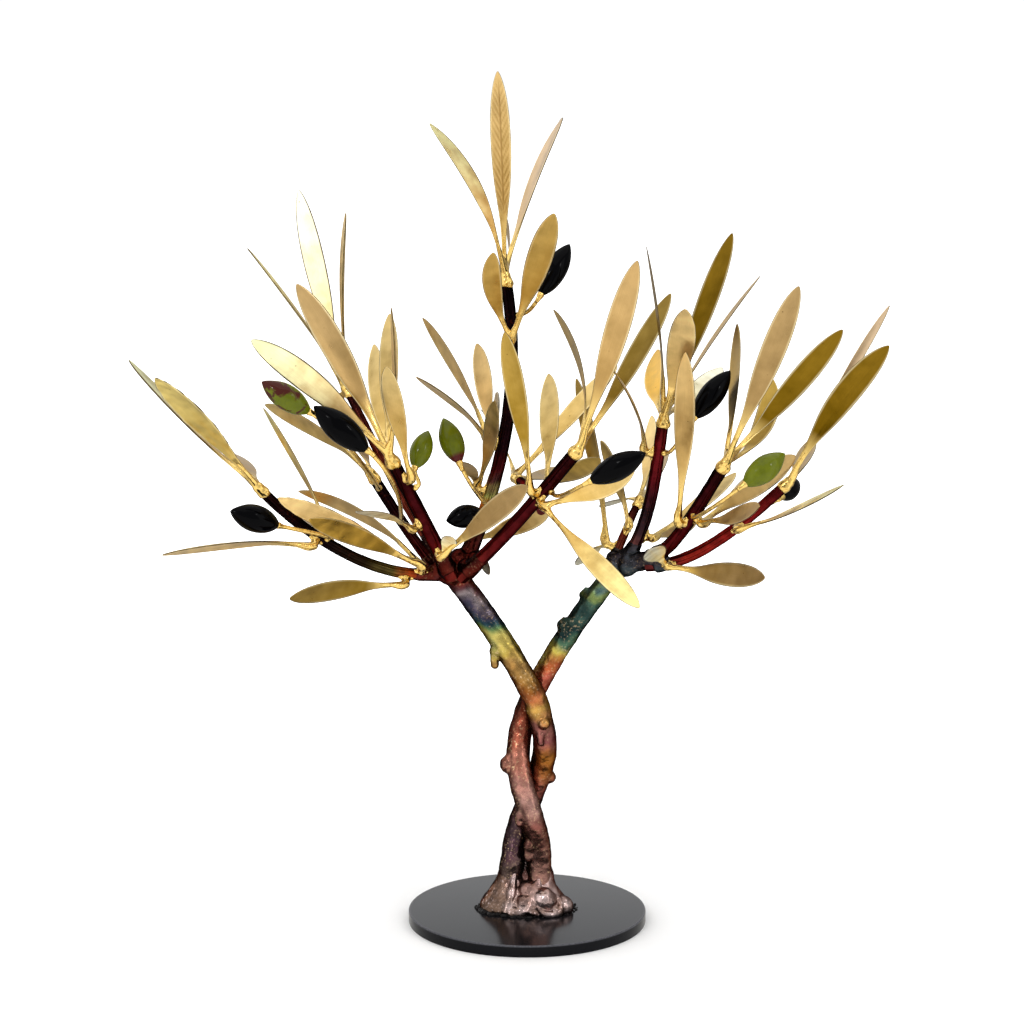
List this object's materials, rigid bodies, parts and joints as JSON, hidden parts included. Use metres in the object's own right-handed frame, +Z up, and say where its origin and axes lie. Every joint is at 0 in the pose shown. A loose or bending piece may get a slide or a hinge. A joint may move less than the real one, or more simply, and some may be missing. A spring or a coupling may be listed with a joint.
{
  "type": "olive tree metal sculpture",
  "caption": "Table sculpture of an olive tree: twisted copper trunk on a round steel disc, forked boughs, upright sprays of brass leaves and enamelled olives.",
  "frame": {"origin": "centre of the base disc's flat underside", "axes": "+Z up, -Y towards the front, +X to the right seen from the front"},
  "size_m": [0.2467, 0.1472, 0.2833],
  "materials": {
    "base": "blackened steel, satin",
    "mound": "flame-patinated copper and bronze weld, semi-gloss",
    "stem": "flame-patinated copper, semi-gloss",
    "bough": "copper rod, heat-darkened maroon to black, semi-gloss",
    "leaf": "brushed and hammered brass sheet, satin",
    "olive_black": "black enamel, glossy",
    "olive_green": "green enamel, glossy"
  },
  "bodies": {
    "root": {"base_disc": "base", "bough_centre_back": "bough", "bough_centre_front": "bough", "bough_centre_tall": "bough", "bough_left_back": "bough", "bough_left_front": "bough", "bough_left_low": "bough", "bough_left_middle": "bough", "bough_right_back": "bough", "bough_right_front": "bough", "bough_right_low": "bough", "bough_right_tall": "bough", "olive_centre_green": "olive_green", "olive_centre_hidden": "olive_black", "olive_centre_large": "olive_black", "olive_left_large": "olive_black", "olive_left_mottled": "olive_green", "olive_left_outer": "olive_black", "olive_left_small": "olive_green", "olive_right_green": "olive_green", "olive_right_outer": "olive_black", "olive_right_upper": "olive_black", "olive_top": "olive_black", "root_mound": "mound", "spray_centre_back_tip": "leaf", "spray_centre_front_lower": "leaf", "spray_centre_front_rear": "leaf", "spray_centre_front_tip": "leaf", "spray_centre_front_upper": "leaf", "spray_centre_left": "leaf", "spray_centre_low": "leaf", "spray_left_back_tip": "leaf", "spray_left_fork_front": "leaf", "spray_left_fork_rear": "leaf", "spray_left_front_outer": "leaf", "spray_left_front_side": "leaf", "spray_left_front_tip": "leaf", "spray_left_low_base": "leaf", "spray_left_low_outer": "leaf", "spray_left_low_tip": "leaf", "spray_left_low_under": "leaf", "spray_left_low_upper": "leaf", "spray_left_middle_tip": "leaf", "spray_right_back_base": "leaf", "spray_right_back_side": "leaf", "spray_right_back_tip": "leaf", "spray_right_front_tip": "leaf", "spray_right_front_under": "leaf", "spray_right_front_upright": "leaf", "spray_right_low_base": "leaf", "spray_right_low_side": "leaf", "spray_right_low_tip": "leaf", "spray_right_tall_base": "leaf", "spray_right_tall_side": "leaf", "spray_right_tall_tip": "leaf", "spray_top": "leaf", "spray_upper": "leaf", "stem_left": "stem", "stem_right": "stem"}
  },
  "joints": []
}
